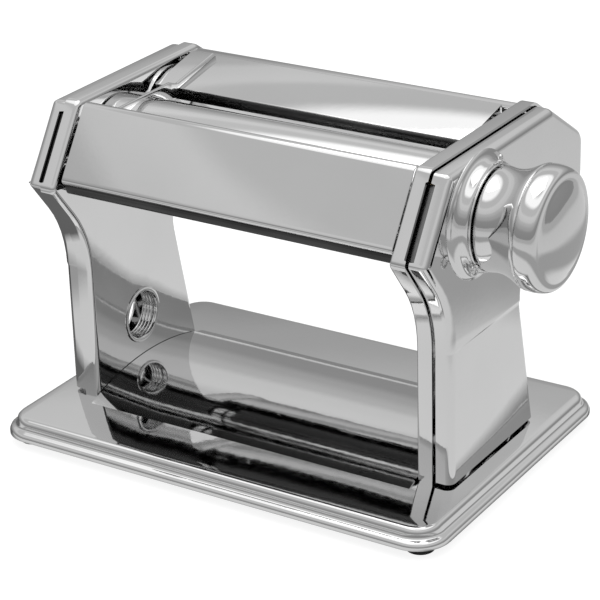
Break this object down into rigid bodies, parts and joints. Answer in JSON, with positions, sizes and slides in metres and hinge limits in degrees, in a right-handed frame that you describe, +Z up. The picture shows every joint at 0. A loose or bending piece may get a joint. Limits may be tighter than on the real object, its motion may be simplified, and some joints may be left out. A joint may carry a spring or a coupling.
{
  "type": "pasta roller machine",
  "caption": "Hand-cranked tabletop pasta roller machine in polished steel with a ridged base, hollow uprights, domed tray and a pull-out thickness dial",
  "frame": {"origin": "middle of the base plate's rectangle at the level of the worktop under the feet", "axes": "+Z up, +X towards the thickness dial, -Y the side the cutter head attaches to, +X also the longest extent"},
  "size_m": [0.232, 0.1485, 0.1436],
  "materials": {
    "polished_sheet": "mirror-polished pressed steel sheet",
    "roller_steel": "polished and plated roller tube",
    "plain_steel": "plain turned steel",
    "gear_steel": "machined gear steel",
    "dark_steel": "dark coated steel in the head's shadow",
    "bush_brass": "plain brass bushes and sleeves",
    "foot_rubber": "matt black rubber"
  },
  "bodies": {
    "machine_body": {"base_plate": "polished_sheet", "bridge_cover": "polished_sheet", "rubber_feet": "foot_rubber", "foot_studs": "plain_steel", "base_screws": "plain_steel", "base_nuts": "plain_steel", "left_side_frame": "polished_sheet", "right_side_frame": "polished_sheet", "left_cover": "polished_sheet", "right_cover": "polished_sheet", "left_cover_clips": "plain_steel", "right_cover_clips": "plain_steel", "cutter_rails": "dark_steel", "clamp_eyelets": "polished_sheet", "front_cover": "polished_sheet", "front_under_strip": "dark_steel", "rear_cover": "polished_sheet", "rear_guide": "polished_sheet", "dough_guide": "polished_sheet", "tie_rods": "plain_steel", "rod_nuts": "plain_steel", "rod_spacers": "plain_steel", "left_bearing_plate": "plain_steel", "rear_roller_bushes": "bush_brass", "axle_bush": "bush_brass", "front_scraper": "dark_steel", "rear_scraper": "dark_steel", "scraper_rods": "plain_steel", "dial_boss": "polished_sheet", "index_pin": "plain_steel", "boss_screws": "plain_steel", "dial_clip": "polished_sheet"},
    "rear_roller_body": {"rear_roller": "roller_steel", "rear_roller_ends": "plain_steel", "rear_gear": "gear_steel"},
    "front_roller_body": {"front_roller": "roller_steel", "front_roller_ends": "plain_steel", "front_gear": "gear_steel"},
    "sleeve_body": {"roller_sleeves": "bush_brass"},
    "axle_body": {"eccentric_axle": "plain_steel", "dial_screw": "plain_steel", "dial_spring": "plain_steel"},
    "dial_body": {"dial_shell": "polished_sheet", "dial_face": "polished_sheet", "dial_hub": "plain_steel"}
  },
  "joints": [
    {"name": "rear_roller_spin", "type": "hinge", "parent": "machine_body", "child": "rear_roller_body", "pos_m": [0, 0.0272, 0.1182], "axis": [1, 0, 0], "continuous": true},
    {"name": "dial_turn", "type": "hinge", "parent": "machine_body", "child": "axle_body", "pos_m": [0, -0.0145, 0.1182], "axis": [-1, 0, 0], "range_deg": [0, 160]},
    {"name": "sleeve_swivel", "type": "hinge", "parent": "axle_body", "child": "sleeve_body", "pos_m": [0, -0.0132, 0.1182], "axis": [-1, 0, 0], "range_deg": [-160, 0]},
    {"name": "front_roller_spin", "type": "hinge", "parent": "sleeve_body", "child": "front_roller_body", "pos_m": [0, -0.0132, 0.1182], "axis": [1, 0, 0], "continuous": true},
    {"name": "dial_pull", "type": "slide", "parent": "axle_body", "child": "dial_body", "axis": [1, 0, 0], "range_m": [0, 0.004], "stiffness_N_per_m": 900, "springref_m": -0.003, "deforming": ["dial_spring"]}
  ],
  "couplings": [
    {"joint": "front_roller_spin", "follows": "rear_roller_spin", "ratio": -1},
    {"joint": "sleeve_swivel", "follows": "dial_turn", "ratio": -1}
  ]
}
